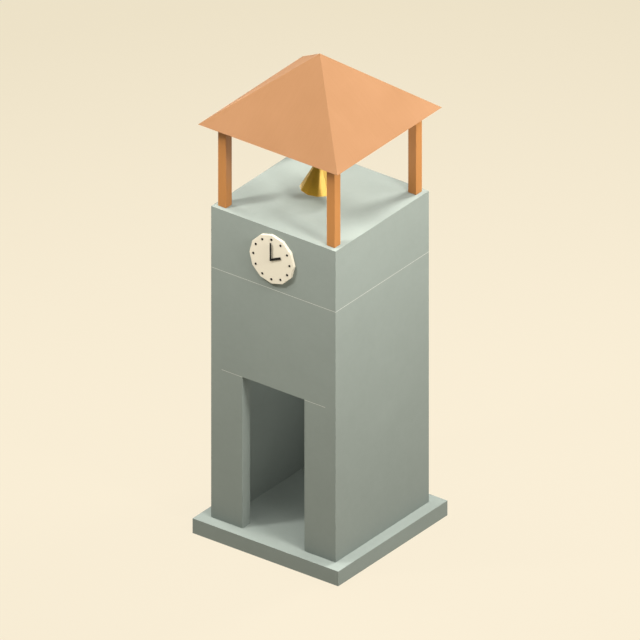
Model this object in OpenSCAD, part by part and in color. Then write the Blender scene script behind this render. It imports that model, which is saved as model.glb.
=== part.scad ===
// Village clock tower: a square shaft of smooth rendered walls on a plinth, with an open
// doorway in front, a closed clock storey over it, and an open timber belfry under a
// hipped roof. The clock's hands turn, and the bell swings on its headstock.
// Millimetres. The doorway and the dial face -Y, up is +Z, and the origin is the centre
// of the plinth's underside.

/* [Plinth] */
// Height of the plinth, whose top is the floor inside the tower
plinth_h = 260; // [150:10:500]
// How far the plinth stands out from the walls on every side
plinth_ledge = 205; // [50:5:400]

/* [Shaft] */
// Outer side of the square tower
tower_w = 2400; // [2000:10:3000]
// Thickness of the shaft's walls
wall_t = 200; // [140:5:280]
// Height of the shaft's walls
shaft_h = 4430; // [3400:10:6000]
// Clear width of the doorway
door_w = 1200; // [800:10:1400]
// Clear height of the doorway
door_h = 2680; // [2000:10:3300]
// Size of the splay along the outer top edge of each lift of wall
joint_splay = 8; // [3:1:20]

/* [Clock storey] */
// Height of the clock storey, with the deck
storey_h = 1070; // [890:10:1800]
// Thickness of the clock storey's walls
storey_wall_t = 120; // [80:5:135]
// Thickness of the floor between the shaft and the clock storey
room_floor_t = 140; // [100:5:250]
// Thickness of the belfry's deck
deck_t = 160; // [100:5:250]

/* [Clock] */
// Corner radius of the twelve-sided dial
dial_r = 425; // [360:5:440]
// Thickness of the dial
dial_t = 50; // [20:1:80]
// Height of the dial's centre over the middle of the clock storey
dial_lift = 15; // [0:1:15]
// Distance from the dial's centre to an hour marker
marker_ring_r = 349; // [325:1:370]
// Diameter of an hour marker
marker_d = 40; // [20:1:44]
// How far an hour marker stands out from the dial
marker_t = 8; // [3:1:12]
// Length of the minute hand from its axis to its tip
minute_hand_l = 300; // [200:5:320]
// Width of the minute hand
minute_hand_w = 30; // [28:1:45]
// Length of the hour hand from its axis to its tip
hour_hand_l = 202; // [120:1:250]
// Width of the hour hand
hour_hand_w = 38; // [28:1:50]
// Angle of the hour hand from twelve, clockwise
hour_hand_angle = 66; // [0:1:359]
// Thickness of either hand
hand_t = 8; // [4:1:12]
// Gap between the dial and the hour hand, and between the two hands
hand_gap = 6; // [5:0.5:10]
// Diameter of the spindle that the hands turn on
spindle_d = 16; // [10:1:20]

/* [Belfry] */
// Side of a square post
post_w = 154; // [120:1:220]
// Height of the posts
post_h = 1460; // [1350:10:2200]
// Distance from the deck's edge to the outer face of a post
post_inset = 75; // [20:1:140]
// Width of the plates that lie on the posts
plate_w = 120; // [90:5:150]
// Height of the bevelled band on which a plate carries the roof
plate_bevel = 40; // [20:1:60]

/* [Roof] */
// How far the eaves reach out past the tower's faces
eaves_reach = 145; // [100:5:300]
// Rise from the eaves to the apex
roof_rise = 1104; // [900:1:1500]
// Thickness of a roof panel, square to its slope
panel_t = 40; // [25:1:60]
// Width of a hip rafter
rafter_w = 70; // [50:5:100]
// Depth of a hip rafter, measured upright
rafter_d = 120; // [90:5:160]
// How far a rafter's foot reaches over the plates
rafter_bearing = 35; // [20:1:50]
// Side of the square boss under the apex
boss_w = 150; // [110:5:200]
// Length of the boss, from the soffit's apex down
boss_l = 330; // [260:5:450]

/* [Bell] */
// Corner radius of the bell's mouth
mouth_r = 320; // [200:5:400]
// Height of the mouth over the deck
mouth_rise = 202; // [120:1:400]
// Height of the bell's sloping side
bell_h = 400; // [300:5:500]
// Corner radius at the top of the sloping side
shoulder_r = 93; // [70:1:140]
// Thickness of the bell's wall
bell_wall = 20; // [12:1:30]
// Thickness of the sound bow, where the clapper strikes
bow_t = 38; // [24:1:50]
// Height of the sound bow
bow_h = 60; // [40:1:90]
// Radius of the crown block on top of the bell
crown_r = 45; // [30:1:60]
// Height of the crown block
crown_h = 60; // [40:1:100]
// Radius of the clapper's ball
ball_r = 38; // [25:1:55]
// Height of the ball's centre over the mouth
ball_rise = 78; // [60:1:120]
// Radius of the clapper's stem
stem_r = 9; // [6:1:14]
// Length of the headstock
headstock_l = 420; // [300:10:600]
// Side of the headstock's square section
headstock_w = 110; // [80:5:150]
// Diameter of the gudgeon pins
gudgeon_d = 30; // [20:1:50]
// Length of a gudgeon pin outside the headstock
gudgeon_l = 44; // [40:1:80]
// Width of the cross beam that carries the bell
beam_w = 110; // [90:5:150]
// Height of the cross beam
beam_h = 140; // [100:5:150]
// Width of a hanger bar
hanger_w = 90; // [60:5:105]
// Thickness of a hanger bar
hanger_t = 16; // [10:1:24]
// Length of the foot that fixes a hanger to the beam
hanger_foot = 130; // [80:5:200]
// Radius of the bearing eye at a hanger's lower end
eye_r = 46; // [36:1:54]
// Thickness of the bearing eye
eye_t = 28; // [24:1:30]

/* [Fits] */
// Clearance round a shaft that turns in a bore
bore_play = 0.08; // [0.03:0.01:0.1]
// Clearance between faces that turn on each other
face_play = 0.3; // [0.2:0.1:1]
// Clearance from the headstock's end to a hanger
headstock_play = 8; // [6:1:15]
// Bedding gap between the roof panels and the timbers that carry them
bedding = 0.3; // [0.1:0.1:0.5]

/* [Hidden] */
$fn = 64;
DIAL_SIDES = 12;
BELL_SIDES = 12;
HOURS = 12;
CAP_OVER = 6;          // how far a collar or cap stands out round the spindle
CAP_T = 6;             // thickness of the spindle's cap
BOW_SHARE = 0.35;      // height of the sound bow's thickest point, as a share of its height
CROWN_SLOPE = 14;      // rise of the bell's head from its shoulder to its crown
STEM_TAIL = 22;        // length of the stem below the clapper's ball
CUT = 10;              // how far a cutter runs past what it cuts

tower_half = tower_w / 2;
z_floor = plinth_h;
z_door_head = z_floor + door_h;
z_string = z_floor + shaft_h;
z_deck = z_string + storey_h;
z_eaves = z_deck + post_h;

dial_face_y = -tower_half - dial_t;
z_dial = z_string + storey_h / 2 + dial_lift;
hour_hand_at = hand_gap + face_play;
minute_hand_at = hour_hand_at + hand_t + hand_gap + face_play;
cap_at = minute_hand_at + hand_t + face_play;

post_face = tower_half - post_inset;
post_centre = post_face - post_w / 2;

roof_half = tower_half + eaves_reach;
roof_slope = atan(roof_rise / roof_half);
soffit_half = roof_half - panel_t / sin(roof_slope);
soffit_rise = roof_rise - panel_t / cos(roof_slope);
plate_in = post_face - plate_w;
plate_top = soffit(post_face) + plate_bevel;

z_mouth = z_deck + mouth_rise;
z_crown = z_mouth + bell_h + crown_h;
z_bell_axis = z_crown + headstock_w / 2;
hanger_in = headstock_l / 2 + headstock_play;

// Height over the eaves, at distance d from the tower's axis, of the timbers' upper faces,
// which lie just under the roof panels.
function soffit(d) = (soffit_half - d) * tan(roof_slope) - bedding;

// Corner radius of the bell's outside at height z over its mouth.
function bell_r(z) = mouth_r - (mouth_r - shoulder_r) * z / bell_h;

// ---- walls and slabs ----

// A block from the origin, w by d by h, with its top edge splayed along the faces that
// sides names.
module lift_of_wall(w, d, h, sides) {
    difference() {
        cube([w, d, h]);
        for (side = sides)
            translate([side == "left" ? 0 : side == "right" ? w : w / 2,
                       side == "front" ? 0 : side == "back" ? d : d / 2, h])
                splay_cutter((side == "left" || side == "right") ? 90 : 0, max(w, d) + CUT);
    }
}

// A square bar of the given length, on edge, which cuts the splay. It runs along X,
// turned by angle about Z.
module splay_cutter(angle, length) {
    rotate([0, 0, angle])
        rotate([45, 0, 0])
            cube([length, joint_splay * sqrt(2), joint_splay * sqrt(2)], center = true);
}

module plinth() {
    side = tower_w + 2 * plinth_ledge;
    color("#8f948a")
        translate([-side / 2, -side / 2, 0])
            cube([side, side, plinth_h]);
}

module side_wall() {
    color("#a9ada2")
        translate([-tower_half, -tower_half, z_floor])
            lift_of_wall(wall_t, tower_w, shaft_h, ["left", "front", "back"]);
}

module left_wall() {
    side_wall();
}

module right_wall() {
    mirror([1, 0, 0]) side_wall();
}

module back_wall() {
    color("#a9ada2")
        translate([-tower_half + wall_t, tower_half - wall_t, z_floor])
            lift_of_wall(tower_w - 2 * wall_t, wall_t, shaft_h, ["back"]);
}

module front_pier() {
    color("#a9ada2")
        translate([-tower_half + wall_t, -tower_half, z_floor])
            lift_of_wall((tower_w - door_w) / 2 - wall_t, wall_t, door_h, ["front"]);
}

module front_pier_left() {
    front_pier();
}

module front_pier_right() {
    mirror([1, 0, 0]) front_pier();
}

module front_wall_over_door() {
    color("#a9ada2")
        translate([-tower_half + wall_t, -tower_half, z_door_head])
            lift_of_wall(tower_w - 2 * wall_t, wall_t, shaft_h - door_h, ["front"]);
}

// The floor lies inside the clock storey's walls, on the thicker walls of the shaft.
module clock_room_floor() {
    side = tower_w - 2 * storey_wall_t;
    color("#a9ada2")
        translate([-side / 2, -side / 2, z_string])
            cube([side, side, room_floor_t]);
}

module storey_side_wall() {
    color("#a9ada2")
        translate([-tower_half, -tower_half, z_string])
            cube([storey_wall_t, tower_w, storey_h - deck_t]);
}

module storey_end_wall() {
    color("#a9ada2")
        translate([-tower_half + storey_wall_t, -tower_half, z_string])
            cube([tower_w - 2 * storey_wall_t, storey_wall_t, storey_h - deck_t]);
}

module storey_wall_front() {
    storey_end_wall();
}

module storey_wall_back() {
    mirror([0, 1, 0]) storey_end_wall();
}

module storey_wall_left() {
    storey_side_wall();
}

module storey_wall_right() {
    mirror([1, 0, 0]) storey_side_wall();
}

module belfry_deck() {
    color("#c8ccc0")
        translate([-tower_half, -tower_half, z_deck - deck_t])
            cube([tower_w, tower_w, deck_t]);
}

// ---- clock ----

// Stands what is drawn in 2D, and given thickness, on the dial: x is right, y is up, and
// the thickness grows outwards from distance at before the dial's face.
module on_dial(at) {
    translate([0, dial_face_y - at, z_dial])
        rotate([90, 0, 0])
            children();
}

module clock_dial() {
    color("#efe3cc")
        on_dial(-dial_t)
            cylinder(h = dial_t, r = dial_r, $fn = DIAL_SIDES);
}

module hour_markers() {
    color("#2a1d16")
        for (hour = [0 : HOURS - 1])
            on_dial(0)
                rotate(hour * 360 / HOURS)
                    translate([0, marker_ring_r, 0])
                        cylinder(h = marker_t, d = marker_d);
}

module hand_spindle() {
    color("#23282a")
        union() {
            on_dial(0) cylinder(h = hand_gap, d = spindle_d + 2 * CAP_OVER);
            on_dial(0) cylinder(h = cap_at, d = spindle_d);
        }
}

module spindle_cap() {
    color("#23282a")
        on_dial(cap_at)
            cylinder(h = CAP_T, d = spindle_d + 2 * CAP_OVER);
}

// A straight hand of length l and width w that points to twelve, round at its axis.
module hand_outline(l, w) {
    union() {
        circle(d = w);
        translate([-w / 2, 0]) square([w, l]);
    }
}

module minute_hand() {
    color("#23282a")
        on_dial(minute_hand_at)
            difference() {
                linear_extrude(hand_t) hand_outline(minute_hand_l, minute_hand_w);
                translate([0, 0, -CUT])
                    cylinder(h = hand_t + 2 * CUT, d = spindle_d + 2 * bore_play);
            }
}

// The hub runs on to the minute hand, so that the two turn on each other there.
module hour_hand() {
    color("#23282a")
        on_dial(hour_hand_at)
            rotate(-hour_hand_angle)
                difference() {
                    union() {
                        linear_extrude(hand_t) hand_outline(hour_hand_l, hour_hand_w);
                        cylinder(h = hand_t + hand_gap, d = spindle_d + 2 * CAP_OVER);
                    }
                    translate([0, 0, -CUT])
                        cylinder(h = hand_t + hand_gap + 2 * CUT,
                                 d = spindle_d + 2 * bore_play);
                }
}

// ---- belfry frame ----

// One post, in the corner that x_side and y_side give as -1 or 1.
module post(x_side, y_side) {
    color("#c8813f")
        translate([x_side * post_centre - post_w / 2,
                   y_side * post_centre - post_w / 2, z_deck])
            cube([post_w, post_w, post_h]);
}

module post_front_left() {
    post(-1, -1);
}

module post_front_right() {
    post(1, -1);
}

module post_back_left() {
    post(-1, 1);
}

module post_back_right() {
    post(1, 1);
}

// One side of the roof or of the frame under it: outline is the section, with x outwards
// from the axis and y up from the eaves, run along the side and mitred at both hips. Side
// 0 is the front, and the others follow anticlockwise as seen from above.
module mitred_side(side, outline) {
    reach = roof_half + CUT;
    rotate([0, 0, side * 90])
        intersection() {
            translate([-reach, 0, z_eaves])
                rotate([90, 0, 90])
                    linear_extrude(2 * reach)
                        polygon([for (p = outline) [-p[0], p[1]]]);
            translate([0, 0, z_eaves - CUT])
                linear_extrude(roof_rise + 2 * CUT)
                    polygon([[0, 0], [-reach, -reach], [reach, -reach]]);
        }
}

module eaves_plate(side) {
    bevel_run = plate_bevel / tan(roof_slope);
    color("#b8763a")
        mitred_side(side, [
            [plate_in, 0], [post_face, 0], [post_face, soffit(post_face)],
            [post_face - bevel_run, plate_top], [plate_in, plate_top]
        ]);
}

module eaves_plate_front() {
    eaves_plate(0);
}

module eaves_plate_right() {
    eaves_plate(1);
}

module eaves_plate_back() {
    eaves_plate(2);
}

module eaves_plate_left() {
    eaves_plate(3);
}

// The space under the roof's panels: one gable crossed with another.
module under_roof() {
    gable = [[-soffit_half, 0], [soffit_half, 0], [0, soffit_rise]];
    translate([0, 0, z_eaves - bedding])
        intersection() {
            rotate([90, 0, 0])
                linear_extrude(2 * soffit_half, center = true) polygon(gable);
            rotate([90, 0, 90])
                linear_extrude(2 * soffit_half, center = true) polygon(gable);
        }
}

// One hip rafter, from the boss down to the corner of the plates, turned to side.
// Distances run along the diagonal, so the soffit is read at distance / sqrt(2).
module hip_rafter(side) {
    foot = sqrt(2) * (plate_in + rafter_bearing);
    heel = sqrt(2) * plate_in - rafter_w / 2;
    head = boss_w / 2;
    color("#b8763a")
        intersection() {
            rotate([0, 0, side * 90 - 45])
                translate([0, 0, z_eaves])
                    rotate([90, 0, 0])
                        linear_extrude(rafter_w, center = true)
                            polygon([
                                [head, soffit(head / sqrt(2)) - rafter_d],
                                [heel, soffit(heel / sqrt(2)) - rafter_d],
                                [heel, plate_top],
                                [foot, plate_top],
                                [foot, soffit(foot / sqrt(2)) + CUT],
                                [head, soffit(head / sqrt(2)) + CUT]
                            ]);
            under_roof();
        }
}

module hip_rafter_front_right() {
    hip_rafter(0);
}

module hip_rafter_back_right() {
    hip_rafter(1);
}

module hip_rafter_back_left() {
    hip_rafter(2);
}

module hip_rafter_front_left() {
    hip_rafter(3);
}

module roof_boss() {
    color("#b8763a")
        intersection() {
            translate([0, 0, z_eaves + soffit_rise - boss_l / 2])
                rotate([0, 0, 45])
                    cube([boss_w, boss_w, boss_l], center = true);
            under_roof();
        }
}

// A panel ends in a level cut at the eaves, so its lower edge is sharp.
module roof_panel(side) {
    color("#e6a878")
        mitred_side(side, [
            [roof_half, 0], [0, roof_rise], [0, soffit_rise], [soffit_half, 0]
        ]);
}

module roof_panel_front() {
    roof_panel(0);
}

module roof_panel_right() {
    roof_panel(1);
}

module roof_panel_back() {
    roof_panel(2);
}

module roof_panel_left() {
    roof_panel(3);
}

// ---- bell ----

module bell_beam() {
    color("#b8763a")
        translate([-plate_in, -beam_w / 2, z_eaves])
            cube([2 * plate_in, beam_w, beam_h]);
}

// The hanger on the right: a foot under the beam, a flat bar down, and a bearing eye.
module hanger() {
    difference() {
        union() {
            translate([hanger_in, -hanger_w / 2, z_eaves - hanger_t])
                cube([hanger_foot, hanger_w, hanger_t]);
            translate([hanger_in, -hanger_w / 2, z_bell_axis])
                cube([hanger_t, hanger_w, z_eaves - z_bell_axis]);
            translate([hanger_in, 0, z_bell_axis])
                rotate([0, 90, 0]) cylinder(h = eye_t, r = eye_r);
        }
        translate([hanger_in - CUT, 0, z_bell_axis])
            rotate([0, 90, 0])
                cylinder(h = eye_t + 2 * CUT, d = gudgeon_d + 2 * bore_play);
    }
}

module bell_hangers() {
    color("#3c4043") {
        hanger();
        mirror([1, 0, 0]) hanger();
    }
}

module bell_headstock() {
    color("#b8763a")
        translate([-headstock_l / 2, -headstock_w / 2, z_crown])
            cube([headstock_l, headstock_w, headstock_w]);
}

module bell_gudgeons() {
    color("#3c4043")
        for (end = [0, 180])
            translate([0, 0, z_bell_axis])
                rotate([0, 0, end])
                    translate([headstock_l / 2, 0, 0])
                        rotate([0, 90, 0]) cylinder(h = gudgeon_l, d = gudgeon_d);
}

module bell() {
    bow_z = bow_h * BOW_SHARE;
    color("#d9a93c")
        translate([0, 0, z_mouth])
            rotate_extrude($fn = BELL_SIDES)
                polygon([
                    [mouth_r, 0],
                    [shoulder_r, bell_h],
                    [crown_r, bell_h + CROWN_SLOPE],
                    [crown_r, bell_h + crown_h],
                    [0, bell_h + crown_h],
                    [0, bell_h - bell_wall],
                    [bell_r(bell_h - bell_wall) - bell_wall, bell_h - bell_wall],
                    [bell_r(bow_h) - bell_wall, bow_h],
                    [bell_r(bow_z) - bow_t, bow_z],
                    [mouth_r - bell_wall, 0]
                ]);
}

// The stem hangs from the inside of the crown.
module clapper() {
    stem_foot = ball_rise - ball_r - STEM_TAIL / 2;
    color("#3c4043")
        translate([0, 0, z_mouth])
            union() {
                translate([0, 0, stem_foot])
                    cylinder(h = bell_h - bell_wall - stem_foot, r = stem_r);
                translate([0, 0, ball_rise]) sphere(r = ball_r);
            }
}

// ---- nodes ----

plinth();
left_wall();
right_wall();
back_wall();
front_pier_left();
front_pier_right();
front_wall_over_door();
clock_room_floor();
storey_wall_front();
storey_wall_back();
storey_wall_left();
storey_wall_right();
belfry_deck();
clock_dial();
hour_markers();
hand_spindle();
hour_hand();
minute_hand();
spindle_cap();
post_front_left();
post_front_right();
post_back_left();
post_back_right();
eaves_plate_front();
eaves_plate_right();
eaves_plate_back();
eaves_plate_left();
hip_rafter_front_left();
hip_rafter_front_right();
hip_rafter_back_right();
hip_rafter_back_left();
roof_boss();
roof_panel_front();
roof_panel_right();
roof_panel_back();
roof_panel_left();
bell_beam();
bell_hangers();
bell_headstock();
bell_gudgeons();
bell();
clapper();
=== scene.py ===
import math

import bpy
import numpy as np
from bpy.props import FloatProperty, FloatVectorProperty, IntProperty, PointerProperty
from bpy.types import NodeSocket, Operator, Panel, PropertyGroup
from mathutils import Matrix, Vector


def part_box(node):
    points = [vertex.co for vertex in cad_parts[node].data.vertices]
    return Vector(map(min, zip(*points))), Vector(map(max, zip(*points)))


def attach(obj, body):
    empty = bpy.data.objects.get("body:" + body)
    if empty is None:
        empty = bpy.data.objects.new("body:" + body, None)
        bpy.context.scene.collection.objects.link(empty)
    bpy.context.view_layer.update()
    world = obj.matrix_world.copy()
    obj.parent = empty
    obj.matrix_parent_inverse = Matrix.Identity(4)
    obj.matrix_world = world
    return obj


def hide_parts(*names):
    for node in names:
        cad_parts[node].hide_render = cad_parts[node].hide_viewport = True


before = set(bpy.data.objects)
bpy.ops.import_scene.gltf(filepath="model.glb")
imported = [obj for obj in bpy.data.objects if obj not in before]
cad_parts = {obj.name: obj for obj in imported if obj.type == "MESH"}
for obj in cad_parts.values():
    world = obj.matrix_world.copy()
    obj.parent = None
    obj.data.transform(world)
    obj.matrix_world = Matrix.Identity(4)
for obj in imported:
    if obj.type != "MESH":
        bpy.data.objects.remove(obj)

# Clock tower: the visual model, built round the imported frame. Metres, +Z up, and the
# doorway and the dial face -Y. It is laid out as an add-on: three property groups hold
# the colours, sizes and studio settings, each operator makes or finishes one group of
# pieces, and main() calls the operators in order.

bl_info = {
    "name": "Clock tower",
    "version": (1, 0, 0),
    "blender": (4, 5, 0),
    "location": "3D View > Sidebar > Clock tower",
    "description": "Builds the visual model of a clock tower round its packed frame",
    "category": "Object",
}

TAU = 2 * math.pi
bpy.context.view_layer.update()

WALLS = (
    "left_wall", "right_wall", "back_wall", "front_pier_left", "front_pier_right",
    "front_wall_over_door", "clock_room_floor", "storey_wall_front", "storey_wall_back",
    "storey_wall_left", "storey_wall_right",
)
CORNERS = ("front_left", "front_right", "back_left", "back_right")
HOURS = 12

# The order in which a bar's (across, across, along) coordinates become x, y and z.
AXIS_ORDER = {"x": (2, 0, 1), "y": (1, 2, 0), "z": (0, 1, 2)}
# Sides of a turned shape that reads as round.
ROUND = 32
# Edges sharper than this many degrees stay crisp: on flat-sided and on turned pieces.
FLAT_SIDED, TURNED = 8, 25
# How far the floor lies under the plinth, so that the two faces don't coincide.
FLOOR_GAP = 0.001
# Most of a noise texture's values lie between these two.
NOISE_SPAN = {"From Min": 0.3, "From Max": 0.7}
BLACK_ENAMEL = {"cloudiness": 0.12, "roughness": 0.4, "gloss": 0.2}


# ---- units and colours ----

def mm(value):
    """Millimetres as metres."""
    return value / 1000


def linear(hex_text):
    """An sRGB colour written as #rrggbb, as three linear values."""
    srgb = np.array([int(hex_text[i:i + 2], 16) for i in (1, 3, 5)]) / 255
    return tuple(np.where(srgb <= 0.04045, srgb / 12.92, ((srgb + 0.055) / 1.055) ** 2.4).tolist())


def shade(colour, factor):
    """A linear colour made lighter or darker by a factor, with an alpha of 1."""
    return tuple(min(channel * factor, 1.0) for channel in colour) + (1.0,)


# ---- surfaces ----

def polygon_outline(sides, turn=0.0, ease=0.0, steps=1):
    """Points round a regular polygon of corner radius 1, its first corner at angle turn.
    Each corner becomes the curve (1-t)^2 A + 2t(1-t) C + t^2 B, where C is the corner and
    A and B lie a share ease of a side before and after it."""
    angle = turn + np.arange(sides) * TAU / sides
    corner = np.stack([np.cos(angle), np.sin(angle)], axis=-1)[:, None]
    start = corner + ease * (np.roll(corner, 1, axis=0) - corner)
    end = corner + ease * (np.roll(corner, -1, axis=0) - corner)
    t = np.linspace(0, 1, steps)[None, :, None]
    curve = (1 - t) ** 2 * start + 2 * t * (1 - t) * corner + t ** 2 * end
    return curve.reshape(-1, 2)


def lathe(profile, outline, centre=(0, 0, 0)):
    """A profile of (radius, height) points carried round a closed outline of unit radius:
    each point is (radius * outline x, radius * outline y, height), moved to the centre."""
    radius, height = np.asarray(profile, float).T
    points = np.empty((len(radius), len(outline), 3))
    points[..., :2] = radius[:, None, None] * outline
    points[..., 2] = height[:, None]
    return points + np.asarray(centre, float)


def quarter(start_angle, steps):
    """Cosine and sine of a quarter turn from start_angle, in steps points."""
    angle = start_angle + np.linspace(0, TAU / 4, steps)
    return np.cos(angle), np.sin(angle)


def eased_disc(radius, thickness, ease, steps=4):
    """Profile of a disc from the middle of its back to the middle of its front, whose
    front edge is a quarter circle of radius ease."""
    cosine, sine = quarter(0, steps)
    edge = np.stack([radius - ease + ease * cosine, thickness - ease + ease * sine], axis=-1)
    return np.concatenate([[(0, 0), (radius, 0)], edge, [(0, thickness)]])


def domed_stud(radius, height, rim, steps=6):
    """Profile of a stud: an upright rim, then a dome whose height over the rim falls off
    as the square root of 1 - (r / radius)^2."""
    cosine, sine = quarter(0, steps)
    dome = np.stack([radius * cosine, rim + (height - rim) * sine], axis=-1)
    return np.concatenate([[(0, 0), (radius, 0)], dome])


def rounded_bar(low, high, axis, ease, steps=4):
    """A square-sawn bar from one corner of its box to the other, with every edge rounded
    to radius ease. Its section, a rectangle with quarter-circle corners, is carried along
    the axis. Near an end it shrinks by ease - sqrt(ease^2 - d^2), where d is how far the
    section lies past the straight part of the bar."""
    order = AXIS_ORDER[axis]
    back = np.argsort(order)
    low, high = np.asarray(low, float)[back], np.asarray(high, float)[back]
    half, middle = (high - low) / 2, (high + low) / 2

    past = ease * np.sin(np.linspace(0, TAU / 4, steps))
    shrink = ease - np.sqrt(np.maximum(ease ** 2 - past ** 2, 0))
    along = half[2] - ease + past
    along = np.concatenate([-along[:0:-1], [-along[0]], along])
    shrink = np.concatenate([shrink[:0:-1], [shrink[0]], shrink])

    sections = []
    for start_angle, side in zip(np.arange(4) * TAU / 4, ((1, 1), (-1, 1), (-1, -1), (1, -1))):
        cosine, sine = quarter(start_angle, steps)
        arc = np.stack([cosine, sine], axis=-1)[None] * (ease - shrink)[:, None, None]
        sections.append(arc + np.array(side) * (half[:2] - ease))
    points = np.empty((len(along), 4 * steps, 3))
    points[..., :2] = np.concatenate(sections, axis=1)
    points[..., 2] = along[:, None]

    first, last = points[:1].copy(), points[-1:].copy()
    first[..., :2] = 0
    last[..., :2] = 0
    points = np.concatenate([first, points, last]) + middle
    return points[..., order]


def prism(section, start, end):
    """A closed section of (y, z) points, given anticlockwise as seen from +X, carried
    along X. Each end is closed by a fan from the section's middle."""
    section = np.asarray(section, float)
    points = np.empty((4, len(section), 3))
    points[:, :, 0] = np.array([start, start, end, end])[:, None]
    points[:, :, 1:] = section
    points[[0, 3], :, 1:] = section.mean(axis=0)
    return points


def stand_on_dial(points, centre):
    """Turns a grid drawn flat, with z outwards, to face -Y round a centre on the dial:
    (x, y, z) becomes (x, -z, y)."""
    return points[..., [0, 2, 1]] * (1, -1, 1) + np.asarray(centre, float)


def grid_faces(rows, columns):
    """Four-cornered faces between neighbours on a grid whose last column joins its first."""
    index = np.arange(rows * columns).reshape(rows, columns)
    index = np.hstack([index, index[:, :1]])
    corners = [index[:-1, :-1], index[:-1, 1:], index[1:, 1:], index[1:, :-1]]
    return np.stack(corners, axis=-1).reshape(-1, 4)


def joined_mesh(name, grids, sharp_angle):
    """A mesh of one or more closed grids. Points that coincide, as at a pole, become one,
    and a face loses the corners that it has twice."""
    faces, start = [], 0
    for grid in grids:
        faces.append(grid_faces(*grid.shape[:2]) + start)
        start += grid.shape[0] * grid.shape[1]
    points = np.concatenate([grid.reshape(-1, 3) for grid in grids])
    _, first, joined = np.unique(points.round(6), axis=0, return_index=True, return_inverse=True)
    corners = joined.reshape(-1)[np.concatenate(faces)]
    repeats = corners == np.roll(corners, 1, axis=1)
    whole = corners[~repeats.any(axis=1)]
    single = corners[repeats.sum(axis=1) == 1]
    kept = ~repeats[repeats.sum(axis=1) == 1]
    triangles = single[kept].reshape(-1, 3)

    mesh = bpy.data.meshes.new(name)
    mesh.from_pydata(points[first].tolist(), [], whole.tolist() + triangles.tolist())
    mesh.polygons.foreach_set("use_smooth", np.ones(len(mesh.polygons), bool))
    mesh.set_sharp_from_angle(angle=math.radians(sharp_angle))
    mesh.update()
    return mesh


def make_piece(name, grids, material, body, stands_for, sharp_angle=FLAT_SIDED):
    """Makes one piece of the given grids. It rides on the body, takes the given material,
    and stands for the CAD nodes."""
    piece = bpy.data.objects.new(name, joined_mesh(name, grids, sharp_angle))
    bpy.context.scene.collection.objects.link(piece)
    piece.data.materials.append(material)
    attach(piece, body)
    if stands_for:
        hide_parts(*stands_for)
    return piece


def finish_nodes(names, material):
    """Gives CAD nodes a finished material."""
    for name in names:
        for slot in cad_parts[name].material_slots:
            slot.material = material


def ease_edges(names, width):
    """Rounds the edges of CAD nodes by a small width, once their triangles are joined."""
    for name in names:
        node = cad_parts[name]
        weld = node.modifiers.new("Join triangles", "WELD")
        weld.merge_threshold = mm(0.05)
        bevel = node.modifiers.new("Eased edges", "BEVEL")
        bevel.width = width
        bevel.segments = 2
        bevel.limit_method = "ANGLE"
        bevel.angle_limit = math.radians(30)


# ---- materials ----

def add(tree, kind, inputs=None, **settings):
    """Adds a node of a kind to a tree with its settings. inputs gives a socket, by name or
    number, its value or the output that feeds it."""
    node = tree.nodes.new("ShaderNode" + kind)
    for name, value in settings.items():
        setattr(node, name, value)
    for socket, value in (inputs or {}).items():
        if isinstance(value, NodeSocket):
            tree.links.new(value, node.inputs[socket])
        else:
            node.inputs[socket].default_value = value
    return node


def new_material(name, diffuse):
    """An empty node material, with its colour for a solid view."""
    material = bpy.data.materials.new(name)
    material.use_nodes = True
    material.diffuse_color = shade(diffuse, 1.0)
    material.node_tree.nodes.clear()
    return material, material.node_tree


def floated_render(name, colour):
    """Cement render or mortar, floated smooth and left bare: dead matt, faintly cloudy
    where it dried unevenly, with long shallow trowel sweeps and a fine sandy grain. Level
    tops are painted up to 8% lighter than the walls: painted light, for the stronger light
    that falls on them."""
    material, tree = new_material(name, colour)
    coordinates = add(tree, "TexCoord")
    place = coordinates.outputs["Object"]
    clouds = add(tree, "TexNoise", {"Vector": place, "Scale": 1 / mm(900), "Detail": 4.0,
                                    "Roughness": 0.55})
    sweeps = add(tree, "TexNoise", {"Vector": place, "Scale": 1 / mm(160), "Detail": 2.0,
                                    "Distortion": 1.2})
    # Sand grains are about 1 mm across; they are drawn at 9 mm so that they show.
    sand = add(tree, "TexNoise", {"Vector": place, "Scale": 1 / mm(9), "Detail": 3.0,
                                  "Roughness": 0.7})
    mixed = add(tree, "Mix", {0: 0.35, 2: clouds.outputs["Fac"], 3: sweeps.outputs["Fac"]})
    speckled = add(tree, "Mix", {0: 0.2, 2: mixed.outputs[0], 3: sand.outputs["Fac"]})
    tone = add(tree, "MapRange", {"Value": speckled.outputs[0], **NOISE_SPAN})
    body = add(tree, "Mix", {0: tone.outputs["Result"], 6: shade(colour, 0.955),
                             7: shade(colour, 1.045)}, data_type="RGBA")
    # Painted light: faces turned up get up to 8% more value, a painted highlight for the light
    # that falls on level tops.
    slope = add(tree, "SeparateXYZ", {0: coordinates.outputs["Normal"]})
    painted_top_light = add(tree, "MapRange", {"Value": slope.outputs["Z"], "From Min": 0.8,
                                   "To Min": 1.0, "To Max": 1.08})
    base = add(tree, "HueSaturation", {"Color": body.outputs[2],
                                       "Value": painted_top_light.outputs["Result"]})
    rough = add(tree, "MapRange", {"Value": speckled.outputs[0], **NOISE_SPAN,
                                   "To Min": 0.96, "To Max": 0.84})
    sweep_relief = add(tree, "Bump", {"Height": sweeps.outputs["Fac"], "Strength": 0.35,
                                      "Distance": mm(2)})
    relief = add(tree, "Bump", {"Height": sand.outputs["Fac"], "Strength": 0.25,
                                "Distance": mm(1.2), "Normal": sweep_relief.outputs["Normal"]})
    shader = add(tree, "BsdfPrincipled", {
        "Base Color": base.outputs["Color"], "Roughness": rough.outputs["Result"],
        "Normal": relief.outputs["Normal"], "Specular IOR Level": 0.15})
    add(tree, "OutputMaterial", {"Surface": shader.outputs["BSDF"]})
    return material


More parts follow.
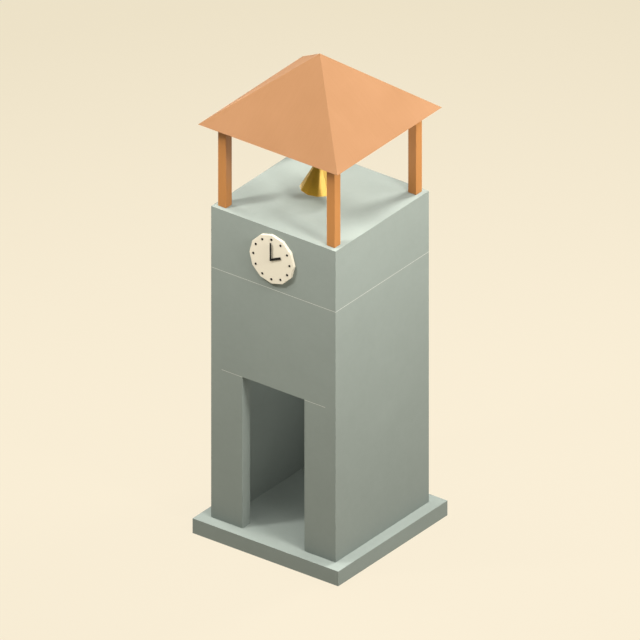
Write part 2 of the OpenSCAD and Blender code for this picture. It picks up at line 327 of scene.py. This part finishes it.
def oiled_larch(name, colour, along):
    """Larch, sawn square, planed and oiled: a warm orange body with darker latewood lines
    and fine fibres that follow the length of the timber, and a low satin sheen."""
    material, tree = new_material(name, colour)
    turn = Vector(along).rotation_difference(Vector((0, 0, 1))).to_euler()
    place = add(tree, "TexCoord").outputs["Object"]
    upright = add(tree, "Mapping", {"Vector": place, "Rotation": turn})
    # Fibres are a tenth of a millimetre wide; bundles of them are drawn at 4 mm.
    fibre_place = add(tree, "Mapping", {"Vector": upright.outputs["Vector"],
                                        "Scale": (1 / mm(4), 1 / mm(4), 1 / mm(220))})
    fibres = add(tree, "TexNoise", {"Vector": fibre_place.outputs["Vector"], "Scale": 1.0,
                                    "Detail": 3.0, "Roughness": 0.6})
    ring_place = add(tree, "Mapping", {"Vector": upright.outputs["Vector"],
                                       "Scale": (1.0, 1.0, 0.06)})
    # Growth rings, about 12 mm from one dark line to the next, wander a little. A wave
    # texture of scale 1 repeats after TAU / 20.
    rings = add(tree, "TexWave", {"Vector": ring_place.outputs["Vector"],
                                  "Scale": TAU / 20 / mm(12), "Distortion": 5.0,
                                  "Detail": 2.0, "Detail Scale": 0.6},
                wave_type="RINGS", rings_direction="Z", wave_profile="SAW")
    board = add(tree, "TexNoise", {"Vector": ring_place.outputs["Vector"],
                                   "Scale": 1 / mm(90), "Detail": 2.0})
    figure = add(tree, "Mix", {0: 0.5, 2: fibres.outputs["Fac"], 3: rings.outputs["Fac"]})
    tone = add(tree, "Mix", {0: 0.3, 2: figure.outputs[0], 3: board.outputs["Fac"]})
    base = add(tree, "Mix", {0: tone.outputs[0], 6: shade(colour, 0.86),
                             7: shade(colour, 1.15)}, data_type="RGBA")
    rough = add(tree, "MapRange", {"Value": fibres.outputs["Fac"], **NOISE_SPAN,
                                   "To Min": 0.62, "To Max": 0.48})
    relief = add(tree, "Bump", {"Height": figure.outputs[0], "Strength": 0.3,
                                "Distance": mm(0.6)})
    shader = add(tree, "BsdfPrincipled", {
        "Base Color": base.outputs[2], "Roughness": rough.outputs["Result"],
        "Normal": relief.outputs["Normal"], "Specular IOR Level": 0.3})
    add(tree, "OutputMaterial", {"Surface": shader.outputs["BSDF"]})
    return material


def painted_boarding(name, colour, bare_colour, across):
    """Roof boarding under two coats of matt terracotta paint: an even, slightly sun-faded
    colour with faint brush marks down the slope. The soffit is bare planed boards, 120 mm
    wide, with a V joint between them."""
    material, tree = new_material(name, colour)
    coordinates = add(tree, "TexCoord")
    place = coordinates.outputs["Object"]
    faded = add(tree, "TexNoise", {"Vector": place, "Scale": 1 / mm(700), "Detail": 3.0})
    # Bristle marks are under 1 mm wide; they are drawn at 14 mm so that they show.
    stretch = [1 / mm(360)] * 3
    stretch["xyz".index(across)] = 1 / mm(14)
    brush_place = add(tree, "Mapping", {"Vector": place, "Scale": stretch})
    brushed = add(tree, "TexNoise", {"Vector": brush_place.outputs["Vector"], "Scale": 1.0,
                                     "Detail": 3.0})
    tone = add(tree, "Mix", {0: 0.4, 2: faded.outputs["Fac"], 3: brushed.outputs["Fac"]})
    spread = add(tree, "MapRange", {"Value": tone.outputs[0], **NOISE_SPAN})
    paint = add(tree, "Mix", {0: spread.outputs["Result"], 6: shade(colour, 0.955),
                              7: shade(colour, 1.045)}, data_type="RGBA")

    split = add(tree, "SeparateXYZ", {"Vector": place})
    position = add(tree, "Math", {0: split.outputs[across.upper()], 1: mm(120)},
                   operation="DIVIDE")
    board = add(tree, "Math", {0: position.outputs[0]}, operation="FRACT")
    from_middle = add(tree, "Math", {0: board.outputs[0], 1: 0.5}, operation="SUBTRACT")
    edge = add(tree, "Math", {0: from_middle.outputs[0]}, operation="ABSOLUTE")
    joint = add(tree, "MapRange", {"Value": edge.outputs[0], "From Min": 0.46, "From Max": 0.5})
    wood = add(tree, "Mix", {0: brushed.outputs["Fac"], 6: shade(bare_colour, 0.8),
                             7: shade(bare_colour, 1.15)}, data_type="RGBA")
    jointed = add(tree, "Mix", {0: joint.outputs["Result"], 6: wood.outputs[2],
                                7: shade(bare_colour, 0.25)}, data_type="RGBA")
    facing = add(tree, "SeparateXYZ", {"Vector": coordinates.outputs["Normal"]})
    soffit = add(tree, "Math", {0: facing.outputs["Z"], 1: -0.3}, operation="LESS_THAN")
    base = add(tree, "Mix", {0: soffit.outputs[0], 6: paint.outputs[2], 7: jointed.outputs[2]},
               data_type="RGBA")
    rough = add(tree, "MapRange", {"Value": tone.outputs[0], **NOISE_SPAN,
                                   "To Min": 0.9, "To Max": 0.76})
    sunk = add(tree, "Math", {0: joint.outputs["Result"], 1: soffit.outputs[0]},
               operation="MULTIPLY")
    height = add(tree, "Math", {0: sunk.outputs[0], 1: -6.0, 2: brushed.outputs["Fac"]},
                 operation="MULTIPLY_ADD")
    relief = add(tree, "Bump", {"Height": height.outputs[0], "Strength": 0.25,
                                "Distance": mm(0.7)})
    shader = add(tree, "BsdfPrincipled", {
        "Base Color": base.outputs[2], "Roughness": rough.outputs["Result"],
        "Normal": relief.outputs["Normal"], "Specular IOR Level": 0.2})
    add(tree, "OutputMaterial", {"Surface": shader.outputs["BSDF"]})
    return material


def satin_enamel(name, colour, cloudiness, roughness, gloss=0.5):
    """Oven enamel sprayed on sheet steel: an even, satin coat, a touch cloudy in its gloss,
    with the soft dimples of sprayed enamel. gloss is the strength of its reflections, 0.5
    for ordinary enamel and less for a duller one."""
    material, tree = new_material(name, colour)
    place = add(tree, "TexCoord").outputs["Object"]
    clouds = add(tree, "TexNoise", {"Vector": place, "Scale": 1 / mm(260), "Detail": 3.0})
    # The dimples of sprayed enamel are 1 to 2 mm across; they are drawn at 7 mm.
    dimples = add(tree, "TexNoise", {"Vector": place, "Scale": 1 / mm(7), "Detail": 1.0})
    tone = add(tree, "Mix", {0: 0.25, 2: clouds.outputs["Fac"], 3: dimples.outputs["Fac"]})
    base = add(tree, "Mix", {0: tone.outputs[0], 6: shade(colour, 1 - cloudiness),
                             7: shade(colour, 1 + cloudiness)}, data_type="RGBA")
    rough = add(tree, "MapRange", {"Value": clouds.outputs["Fac"], **NOISE_SPAN,
                                   "To Min": roughness - 0.06, "To Max": roughness + 0.06})
    relief = add(tree, "Bump", {"Height": dimples.outputs["Fac"], "Strength": 0.12,
                                "Distance": mm(0.3)})
    shader = add(tree, "BsdfPrincipled", {
        "Base Color": base.outputs[2], "Roughness": rough.outputs["Result"],
        "Specular IOR Level": gloss, "Normal": relief.outputs["Normal"]})
    add(tree, "OutputMaterial", {"Surface": shader.outputs["BSDF"]})
    return material


def cast_bell_metal(name, colour):
    """Bell bronze, cast, filed flat and polished: a deep gold with a clear gloss, clouded
    in patches, with faint scratches round it. Metallic is a half, and not 1 as for bare
    metal, so that a side that mirrors no lamp still shows its colour."""
    material, tree = new_material(name, colour)
    place = add(tree, "TexCoord").outputs["Object"]
    tarnish = add(tree, "TexNoise", {"Vector": place, "Scale": 1 / mm(120), "Detail": 5.0,
                                     "Roughness": 0.6})
    # Scratches are drawn about 3 mm apart and 40 mm long, coarser than real ones.
    scratch_place = add(tree, "Mapping", {"Vector": place,
                                          "Scale": (1 / mm(40), 1 / mm(40), 1 / mm(3))})
    scratches = add(tree, "TexNoise", {"Vector": scratch_place.outputs["Vector"], "Scale": 1.0,
                                       "Detail": 3.0})
    tone = add(tree, "MapRange", {"Value": tarnish.outputs["Fac"], **NOISE_SPAN})
    base = add(tree, "Mix", {0: tone.outputs["Result"], 6: shade(colour, 0.86),
                             7: shade(colour, 1.08)}, data_type="RGBA")
    rough = add(tree, "MapRange", {"Value": tarnish.outputs["Fac"], **NOISE_SPAN,
                                   "To Min": 0.2, "To Max": 0.15})
    relief = add(tree, "Bump", {"Height": scratches.outputs["Fac"], "Strength": 0.05,
                                "Distance": mm(0.3)})
    shader = add(tree, "BsdfPrincipled", {
        "Base Color": base.outputs[2], "Roughness": rough.outputs["Result"],
        "Normal": relief.outputs["Normal"], "Metallic": 0.5})
    add(tree, "OutputMaterial", {"Surface": shader.outputs["BSDF"]})
    return material


def forged_iron(name, colour):
    """Wrought iron, forged and blackened in oil: nearly black, dull, with the shallow
    hammer marks of the forge and a trace of brown where the oil has gone."""
    material, tree = new_material(name, colour)
    place = add(tree, "TexCoord").outputs["Object"]
    hammered = add(tree, "TexVoronoi", {"Vector": place, "Scale": 1 / mm(18),
                                        "Smoothness": 1.0}, feature="SMOOTH_F1")
    patches = add(tree, "TexNoise", {"Vector": place, "Scale": 1 / mm(60), "Detail": 4.0})
    worn = add(tree, "MapRange", {"Value": patches.outputs["Fac"], "From Min": 0.45,
                                  "From Max": 0.75})
    bloom = linear("#5b4636")
    base = add(tree, "Mix", {0: worn.outputs["Result"], 6: shade(colour, 0.9),
                             7: shade(bloom, 1.0)}, data_type="RGBA")
    rough = add(tree, "MapRange", {"Value": patches.outputs["Fac"], **NOISE_SPAN,
                                   "To Min": 0.5, "To Max": 0.72})
    relief = add(tree, "Bump", {"Height": hammered.outputs["Distance"], "Strength": 0.35,
                                "Distance": mm(0.8)})
    shader = add(tree, "BsdfPrincipled", {
        "Base Color": base.outputs[2], "Roughness": rough.outputs["Result"],
        "Normal": relief.outputs["Normal"], "Metallic": 0.85})
    add(tree, "OutputMaterial", {"Surface": shader.outputs["BSDF"]})
    return material


def glowing_floor(name, near, far, reach, centre):
    """A pale sweep of studio paper that gives its own light: cream round the centre and a
    little deeper far away, by the square of the distance over reach. It scatters the
    lamps' light too, but so weakly that the tower's shadow hardly shows."""
    material, tree = new_material(name, near)
    place = add(tree, "TexCoord").outputs["Object"]
    offset = add(tree, "VectorMath", {0: place, 1: centre}, operation="SUBTRACT")
    distance = add(tree, "VectorMath", {0: offset.outputs["Vector"]}, operation="LENGTH")
    share = add(tree, "Math", {0: distance.outputs["Value"], 1: reach}, operation="DIVIDE")
    square = add(tree, "Math", {0: share.outputs[0], 1: share.outputs[0]}, operation="MULTIPLY")
    colour = add(tree, "Mix", {0: square.outputs[0], 6: shade(near, 1.0), 7: shade(far, 1.0)},
                 data_type="RGBA")
    glow = add(tree, "Emission", {"Color": colour.outputs[2]})
    paper = add(tree, "BsdfDiffuse", {"Color": shade(near, FLOOR_DIFFUSE_SHARE)})
    both = add(tree, "AddShader", {0: glow.outputs[0], 1: paper.outputs[0]})
    add(tree, "OutputMaterial", {"Surface": both.outputs[0]})
    return material


# ---- settings ----

def colour_property(name, description, hex_text):
    """A colour whose default is an sRGB hex value."""
    return FloatVectorProperty(name=name, description=description, subtype="COLOR", size=3,
                               min=0.0, max=1.0, default=linear(hex_text))


def length_property(name, description, default):
    """A length in metres."""
    return FloatProperty(name=name, description=description, default=default, min=0.0,
                         unit="LENGTH", subtype="DISTANCE")


class TowerColours(PropertyGroup):
    """Colours of the tower's finishes."""
    render: colour_property("Render", "Bare cement render of walls, plinth and deck", "#79827e")
    # The mortar is real, but its pale colour is a painted highlight: it stands in for the light
    # caught by the joints' edges.
    mortar: colour_property("Mortar", "Pale lime mortar in the joints of the walls", "#acb0a9")
    larch: colour_property("Larch", "Oiled larch of the posts and the roof's frame", "#986736")
    roof: colour_property("Roof", "Matt terracotta paint on the roof", "#775639")
    soffit: colour_property("Soffit", "Bare boards under the roof", "#a5794c")
    enamel: colour_property("Dial", "Cream enamel of the dial", "#c2bdae")
    black: colour_property("Clock black", "Black enamel of hands and hour studs", "#0f0e0e")
    bronze: colour_property("Bronze", "Polished bell metal", "#8e7226")
    iron: colour_property("Iron", "Blackened iron of the bell's fittings", "#3a3a3b")


class TowerSizes(PropertyGroup):
    """Sizes that the visual model adds, and sizes of the CAD part that its boxes don't give."""
    joint: length_property("Joint", "Height of the mortar joints", mm(8))
    post_ease: length_property("Post edges", "Rounding of the posts' edges", mm(5))
    timber_ease: length_property("Timber edges", "Rounding of the smaller timbers", mm(4))
    dial_ease: length_property("Dial edge", "Rounding of the dial's front edge", mm(3))
    hand_ease: length_property("Hand edges", "Rounding of the hands' edges", mm(1.2))
    iron_ease: length_property("Iron edges", "Rounding of the hangers' edges", mm(1.5))
    stud_diameter: length_property("Stud diameter", "Diameter of an hour stud", mm(40))
    stud_ring: length_property("Stud ring", "Distance of an hour stud from the spindle", mm(349))
    bell_sides: IntProperty(name="Bell sides", description="Number of the bell's flat sides",
                            default=12, min=3, max=64)
    bell_ease: length_property("Bell arrises", "Rounding of the edges between sides", mm(2))
    shoulder_radius: length_property("Shoulder", "Corner radius at the bell's shoulder", mm(93))
    side_height: length_property("Side height", "Height of the bell's sloping sides", mm(400))
    crown_radius: length_property("Crown", "Corner radius of the block on the bell", mm(45))
    bell_wall: length_property("Bell wall", "Thickness of the bell's wall", mm(20))
    bow_thickness: length_property("Sound bow", "Thickness of the bell where it is struck", mm(38))
    bow_height: length_property("Bow height", "Height of the thickened rim", mm(60))
    ball_radius: length_property("Ball", "Radius of the clapper's ball", mm(38))
    ball_rise: length_property("Ball rise", "Height of the ball over the bell's mouth", mm(78))
    stem_radius: length_property("Stem", "Radius of the clapper's stem", mm(9))


class StudioSettings(PropertyGroup):
    """The floor, the lights' colour and the camera."""
    near: colour_property("Floor, near", "Colour of the floor round the tower", "#f4e9d2")
    far: colour_property("Floor, far", "Colour of the floor far from the tower", "#ebe0c6")
    light: colour_property("Light", "Colour of the lamps", "#fffaf3")
    backdrop: colour_property("Backdrop", "Colour seen past the floor", "#e6dbc1")
    ambient: FloatProperty(name="Ambient", description="Brightness of the light from all round",
                           default=0.06, min=0.0)
    floor_radius: length_property("Floor radius", "Radius of the floor", 60.0)
    view_height: length_property("View height", "Height that the camera takes in", 9.877)
    view_centre: length_property("View centre", "Height of the camera's aim", 3.61)


# ---- the tower's pieces ----

class TOWER_OT_masonry(Operator):
    """Finishes the plinth, walls and slabs in bare cement render"""
    bl_idname = "tower.masonry"
    bl_label = "Masonry"

    def execute(self, context):
        render = floated_render("cement_render_floated", context.scene.tower_colours.render)
        finish_nodes(("plinth", "belfry_deck") + WALLS, render)
        return {"FINISHED"}


class TOWER_OT_pointing(Operator):
    """Fills the splayed joints between the lifts of wall with mortar, its pale colour a painted
    highlight along each joint
    """
    bl_idname = "tower.pointing"
    bl_label = "Pointing"

    def execute(self, context):
        # A real mortar joint, made pale as a painted highlight along the top of each lift of wall.
        mortar = floated_render("lime_mortar_pale_as_highlight", context.scene.tower_colours.mortar)
        size = context.scene.tower_sizes.joint
        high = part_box("right_wall")[1]
        corner = high.x * math.sqrt(2)
        joint = [(corner, high.z - size), (corner, high.z),
                 (corner - size * math.sqrt(2), high.z), (corner, high.z - size)]
        string = lathe(joint, polygon_outline(4, turn=TAU / 8))

        door_joints = []
        for side in ("left", "right"):
            low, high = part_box("front_pier_" + side)
            section = [(low.y, high.z - size), (low.y + size, high.z), (low.y, high.z)]
            door_joints.append(prism(section, low.x, high.x))
        make_piece("mortar_joints", [string] + door_joints, mortar, "tower", [])
        return {"FINISHED"}


class TOWER_OT_posts(Operator):
    """Makes the belfry's four larch posts"""
    bl_idname = "tower.posts"
    bl_label = "Posts"

    def execute(self, context):
        larch = oiled_larch("larch_oiled_upright", context.scene.tower_colours.larch, (0, 0, 1))
        ease = context.scene.tower_sizes.post_ease
        for corner in CORNERS:
            bar = rounded_bar(*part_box("post_" + corner), "z", ease)
            make_piece("larch_post_" + corner, [bar], larch, "tower",
                       ["post_" + corner])
        return {"FINISHED"}


class TOWER_OT_roof(Operator):
    """Finishes the roof's panels, painted above and bare beneath"""
    bl_idname = "tower.roof"
    bl_label = "Roof"

    def execute(self, context):
        colours = context.scene.tower_colours
        for across, sides in (("x", ("front", "back")), ("y", ("left", "right"))):
            boarding = painted_boarding("boarding_painted_along_" + across, colours.roof,
                                        colours.soffit, across)
            finish_nodes(["roof_panel_" + side for side in sides], boarding)
        return {"FINISHED"}


class TOWER_OT_roof_frame(Operator):
    """Finishes the plates, hip rafters and boss under the roof, with eased edges"""
    bl_idname = "tower.roof_frame"
    bl_label = "Roof frame"

    def execute(self, context):
        colour = context.scene.tower_colours.larch
        ease = context.scene.tower_sizes.timber_ease
        low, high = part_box("roof_panel_front")
        pitch = (high.z - low.z) / (high.y - low.y)
        runs = {
            "eaves_plate_front": (1, 0, 0), "eaves_plate_back": (1, 0, 0),
            "eaves_plate_left": (0, 1, 0), "eaves_plate_right": (0, 1, 0),
            "hip_rafter_front_left": (1, 1, pitch), "hip_rafter_front_right": (-1, 1, pitch),
            "hip_rafter_back_left": (1, -1, pitch), "hip_rafter_back_right": (-1, -1, pitch),
            "roof_boss": (0, 0, 1),
        }
        finishes = {}
        for name, along in runs.items():
            if along not in finishes:
                finishes[along] = oiled_larch("larch_oiled_" + name, colour, along)
            finish_nodes([name], finishes[along])
        ease_edges(runs, ease)
        return {"FINISHED"}


class TOWER_OT_dial(Operator):
    """Makes the dial, its hour studs and the cap that holds the hands"""
    bl_idname = "tower.dial"
    bl_label = "Dial"

    def execute(self, context):
        colours = context.scene.tower_colours
        sizes = context.scene.tower_sizes
        low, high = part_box("clock_dial")
        middle_x, middle_z = (low.x + high.x) / 2, (low.z + high.z) / 2
        enamel = satin_enamel("enamel_cream_satin", colours.enamel, cloudiness=0.04,
                              roughness=0.5)
        plate = lathe(eased_disc((high.x - low.x) / 2, high.y - low.y, sizes.dial_ease),
                      polygon_outline(HOURS))
        plate = stand_on_dial(plate, (middle_x, high.y, middle_z))
        make_piece("dial_plate", [plate], enamel, "tower", ["clock_dial"])

        black = satin_enamel("enamel_black_satin", colours.black, **BLACK_ENAMEL)
        proud = low.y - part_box("hour_markers")[0].y
        stud = lathe(domed_stud(sizes.stud_diameter / 2, proud, proud / 3), polygon_outline(ROUND))
        hour = np.arange(HOURS) * TAU / HOURS
        centres = np.stack([sizes.stud_ring * np.sin(hour), sizes.stud_ring * np.cos(hour),
                            np.zeros(HOURS)], axis=-1)
        studs = stand_on_dial(stud + centres[:, None, None], (middle_x, low.y, middle_z))
        make_piece("hour_studs", list(studs), black, "tower", ["hour_markers"],
                   sharp_angle=TURNED)

        cap_low, cap_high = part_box("spindle_cap")
        rim = mm(1.5)
        cap = lathe(domed_stud((cap_high.x - cap_low.x) / 2, cap_high.y - cap_low.y, rim),
                    polygon_outline(ROUND))
        cap = stand_on_dial(cap, (middle_x, cap_high.y, middle_z))
        make_piece("spindle_dome", [cap], black, "tower", ["spindle_cap"],
                   sharp_angle=TURNED)
        return {"FINISHED"}


class TOWER_OT_hands(Operator):
    """Finishes the two hands and their spindle in black enamel, with eased edges"""
    bl_idname = "tower.hands"
    bl_label = "Hands"

    def execute(self, context):
        colour = context.scene.tower_colours.black
        black = satin_enamel("enamel_black_hands", colour, **BLACK_ENAMEL)
        finish_nodes(("hour_hand", "minute_hand", "hand_spindle"), black)
        ease_edges(("hour_hand", "minute_hand"), context.scene.tower_sizes.hand_ease)
        return {"FINISHED"}


class TOWER_OT_bell(Operator):
    """Makes the many-sided bell and its clapper"""
    bl_idname = "tower.bell"
    bl_label = "Bell"

    def execute(self, context):
        sizes = context.scene.tower_sizes
        bronze = cast_bell_metal("bell_bronze_polished", context.scene.tower_colours.bronze)
        low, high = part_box("bell")
        mouth = (high.x - low.x) / 2
        height = high.z - low.z
        side = 2 * mouth * math.sin(TAU / 2 / sizes.bell_sides)
        outline = polygon_outline(sizes.bell_sides, ease=sizes.bell_ease / side, steps=3)
        shell = lathe(bell_profile(sizes, mouth, height), outline, (0, 0, low.z))
        make_piece("bell_shell", [shell], bronze, "bell", ["bell"])

        iron = forged_iron("iron_forged_clapper", context.scene.tower_colours.iron)
        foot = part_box("clapper")[0].z - low.z
        clapper = lathe(clapper_profile(sizes, foot), polygon_outline(ROUND), (0, 0, low.z))
        make_piece("clapper_forged", [clapper], iron, "bell", ["clapper"],
                   sharp_angle=TURNED)
        return {"FINISHED"}


def bell_profile(sizes, mouth, height):
    """Section of the bell's wall, as corner radius and height over its mouth: from the
    middle of the inside down to the lip, then up the straight outer side, over the
    shoulder and the crown block to the middle of its top."""
    def outer(z):
        return mouth - (mouth - sizes.shoulder_radius) * z / sizes.side_height

    wall, bow = sizes.bell_wall, sizes.bow_thickness
    ceiling = sizes.side_height - wall
    thickest = 0.35 * sizes.bow_height
    lip, edge = mm(4), mm(3)
    crown = sizes.crown_radius
    shoulder_rise, crown_foot = mm(1), mm(14)
    return [
        (0, ceiling), (outer(ceiling) - wall, ceiling),
        (outer(sizes.bow_height) - wall, sizes.bow_height),
        (outer(thickest) - bow, thickest), (mouth - wall, lip / 4), (mouth - wall + lip, 0),
        (mouth - lip, 0), (outer(lip), lip),
        (outer(sizes.side_height - edge), sizes.side_height - edge),
        (sizes.shoulder_radius - edge, sizes.side_height + shoulder_rise),
        (crown, sizes.side_height + crown_foot), (crown, height - edge),
        (crown - edge, height), (0, height),
    ]


def clapper_profile(sizes, foot):
    """Section of the clapper, as radius and height over the mouth: a tail, a ball whose
    radius is R cos(a) at height R sin(a), and a stem up to the bell's ceiling."""
    stem = sizes.stem_radius
    reach = math.acos(stem / sizes.ball_radius)
    angle = np.linspace(-reach, reach, 17)
    ball = np.stack([sizes.ball_radius * np.cos(angle),
                     sizes.ball_rise + sizes.ball_radius * np.sin(angle)], axis=-1)
    top = sizes.side_height - sizes.bell_wall
    chamfer = mm(2)
    tail = [(0, foot), (stem - chamfer, foot), (stem, foot + chamfer)]
    return np.concatenate([tail, ball, [(stem, top), (0, top)]])


class TOWER_OT_bell_hanging(Operator):
    """Makes the headstock and finishes the beam, hangers and gudgeons, with their bolts"""
    bl_idname = "tower.bell_hanging"
    bl_label = "Bell hanging"

    def execute(self, context):
        colours = context.scene.tower_colours
        sizes = context.scene.tower_sizes
        larch = oiled_larch("larch_oiled_level", colours.larch, (1, 0, 0))
        low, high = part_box("bell_headstock")
        stock = rounded_bar(low, high, "x", sizes.timber_ease)
        make_piece("larch_headstock", [stock], larch, "bell",
                   ["bell_headstock"])
        finish_nodes(["bell_beam"], larch)
        ease_edges(["bell_beam"], sizes.timber_ease)

        iron = forged_iron("iron_forged_black", colours.iron)
        finish_nodes(("bell_hangers", "bell_gudgeons"), iron)
        ease_edges(["bell_hangers"], sizes.iron_ease)

        nut_radius, nut_height = mm(18), mm(16)
        washer_radius, washer_thickness = mm(34), mm(4)
        nut = lathe(eased_disc(nut_radius, nut_height, mm(2)), polygon_outline(6))
        washer = lathe(eased_disc(washer_radius, washer_thickness, mm(1)),
                       polygon_outline(ROUND))
        on_top = np.array([(low.x + high.x) / 2, (low.y + high.y) / 2, high.z])
        stack = [washer + on_top, nut + on_top + (0, 0, washer_thickness)]
        make_piece("headstock_nut", stack, iron, "bell", [])

        # Two bolts go up through each hanger's foot, a flat bar under the beam. Their heads
        # are the nut again, upside down and smaller.
        foot_length, foot_thickness = mm(130), mm(16)
        bolt_places = (mm(50), mm(100))
        head_scale = 0.75
        hanger_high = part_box("bell_hangers")[1]
        foot_z = hanger_high.z - foot_thickness
        head = nut * (1, -1, -1) * head_scale
        heads = []
        for side in (-1, 1):
            for along in bolt_places:
                x = side * (hanger_high.x - foot_length + along)
                heads.append(head + (x, 0, foot_z))
        make_piece("hanger_bolts", heads, iron, "tower", [])
        return {"FINISHED"}


# ---- the stage ----

# Soft round lamps, aimed at the tower from a distance of 14 m: azimuth from the front
# towards the right, elevation, radius in metres and power in watts. Most of them were
# solved for by least squares, over renders with one lamp lit at a time, and some of those
# were then adjusted. front_right and right_low were given, not solved for.
LAMPS = {
    "front_left": (325, 47, 0.87, 947),
    "front_left_high": (325, 52, 0.87, 718),
    "front_high": (345, 65, 2.5, 754),
    "front_right": (53, 38, 1.8, 250),
    "right_high": (45, 65, 2.5, 740),
    "right": (75, 38, 1.5, 1990),
    "right_back": (120, 50, 2.5, 540),
    "right_low": (110, 28, 1.8, 150),
    "back": (162, 46, 2.1, 2983),
    "back_low": (159, 19, 1.5, 560),
    "left": (281, 47, 2.5, 575),
    "left_low": (270, 22, 2.9, 2430),
}
LAMP_DISTANCE = 14.0
LAMP_AIM = Vector((0, 0, 4))

# Weak panels. Two hang inside the tower room, along its right wall and under its ceiling,
# so that the room reads through the doorway. One lies over the deck, faces up and adds
# light under the roof. Each has a place, the way it faces, its width and height, and its
# power.
ROOM_LAMPS = {
    "room_side": ((0.9, 0.1, 1.9), (-1, 0, 0), (1.6, 3.0), 14.0),
    "room_ceiling": ((0, 0, 4.5), (0, 0, -1), (1.6, 1.6), 25.0),
    "under_roof": ((0, 0, 5.9), (0, 0, 1), (1.4, 1.4), 12.0),
}

CAMERA_DIRECTION = Vector((3, -4, 2.8))
CAMERA_DISTANCE = 30.0

# Where the floor is palest, how far from there it has turned to its far colour, and how
# much of its colour it also scatters as paper does.
FLOOR_CENTRE = (3, 0, 0)
FLOOR_REACH = 18.5
FLOOR_DIFFUSE_SHARE = 0.02


class TOWER_OT_stage(Operator):
    """Makes the floor, the lamps, the surroundings and the camera"""
    bl_idname = "tower.stage"
    bl_label = "Stage"

    def execute(self, context):
        scene = context.scene
        studio = scene.tower_studio
        rings = np.concatenate([[0], np.geomspace(0.5, studio.floor_radius, 12)])
        profile = [(ring, -FLOOR_GAP) for ring in rings[::-1]]
        grid = lathe(profile, polygon_outline(3 * ROUND))
        mesh = joined_mesh("studio_floor", [grid], FLAT_SIDED)
        floor = bpy.data.objects.new("studio_floor", mesh)
        scene.collection.objects.link(floor)
        floor.data.materials.append(glowing_floor("paper_sweep", studio.near, studio.far,
                                                  FLOOR_REACH, FLOOR_CENTRE))

        for name, (azimuth, elevation, radius, power) in LAMPS.items():
            lamp = bpy.data.lights.new("lamp_" + name, "AREA")
            lamp.shape = "DISK"
            lamp.size = 2 * radius
            lamp.energy = power
            lamp.color = studio.light
            turn, rise = math.radians(azimuth), math.radians(elevation)
            outwards = Vector((math.sin(turn) * math.cos(rise),
                               -math.cos(turn) * math.cos(rise), math.sin(rise)))
            place_facing(scene, lamp, LAMP_AIM, outwards, LAMP_DISTANCE)

        for name, (place, facing, size, power) in ROOM_LAMPS.items():
            lamp = bpy.data.lights.new("lamp_" + name, "AREA")
            lamp.shape = "RECTANGLE"
            lamp.size, lamp.size_y = size
            lamp.energy = power
            lamp.color = studio.light
            hung = place_facing(scene, lamp, Vector(place), -Vector(facing), 0.0)
            hung.visible_camera = False

        camera = bpy.data.cameras.new("camera")
        camera.type = "ORTHO"
        camera.ortho_scale = studio.view_height
        camera.clip_end = 4 * studio.floor_radius
        aim = Vector((0, 0, studio.view_centre))
        scene.camera = place_facing(scene, camera, aim, CAMERA_DIRECTION.normalized(),
                                    CAMERA_DISTANCE)
        scene.world = surroundings(studio)
        scene.view_settings.view_transform = "Standard"
        return {"FINISHED"}


def place_facing(scene, data, aim, outwards, distance):
    """Puts a lamp or camera at a distance from its aim, and turns it to face the aim."""
    thing = bpy.data.objects.new(data.name, data)
    thing.location = aim + outwards * distance
    thing.rotation_euler = outwards.to_track_quat("Z", "Y").to_euler()
    scene.collection.objects.link(thing)
    return thing


def surroundings(studio):
    """A dim, even light from all round, seen behind the floor as a pale backdrop."""
    world = bpy.data.worlds.new("studio")
    world.use_nodes = True
    tree = world.node_tree
    tree.nodes.clear()
    ambient = add(tree, "Background", {"Color": shade(studio.light, 1.0),
                                       "Strength": studio.ambient})
    backdrop = add(tree, "Background", {"Color": shade(studio.backdrop, 1.0)})
    path = add(tree, "LightPath")
    both = add(tree, "MixShader", {0: path.outputs["Is Camera Ray"], 1: ambient.outputs[0],
                                   2: backdrop.outputs[0]})
    add(tree, "OutputWorld", {"Surface": both.outputs[0]})
    return world


# ---- add-on ----

class TOWER_PT_panel(Panel):
    """Lists the tower's settings and the operators that build it"""
    bl_idname = "TOWER_PT_panel"
    bl_label = "Clock tower"
    bl_space_type = "VIEW_3D"
    bl_region_type = "UI"
    bl_category = "Clock tower"

    def draw(self, context):
        scene = context.scene
        for group in (scene.tower_colours, scene.tower_sizes, scene.tower_studio):
            box = self.layout.box()
            for name in group.__annotations__:
                box.prop(group, name)
        for operator in OPERATORS:
            self.layout.operator(operator.bl_idname)


GROUPS = {
    "tower_colours": TowerColours,
    "tower_sizes": TowerSizes,
    "tower_studio": StudioSettings,
}
OPERATORS = (
    TOWER_OT_stage, TOWER_OT_masonry, TOWER_OT_pointing, TOWER_OT_posts, TOWER_OT_roof,
    TOWER_OT_roof_frame, TOWER_OT_dial, TOWER_OT_hands, TOWER_OT_bell, TOWER_OT_bell_hanging,
)


def register():
    """Registers the settings, operators and panel, and adds the settings to the scene."""
    for kind in (*GROUPS.values(), *OPERATORS, TOWER_PT_panel):
        bpy.utils.register_class(kind)
    for name, group in GROUPS.items():
        setattr(bpy.types.Scene, name, PointerProperty(type=group))


def unregister():
    """Undoes register()."""
    for name in GROUPS:
        delattr(bpy.types.Scene, name)
    for kind in reversed((*GROUPS.values(), *OPERATORS, TOWER_PT_panel)):
        bpy.utils.unregister_class(kind)


def main():
    """Builds the whole scene."""
    register()
    for operator in OPERATORS:
        family, name = operator.bl_idname.split(".")
        getattr(getattr(bpy.ops, family), name)()


if __name__ == "__main__":
    main()
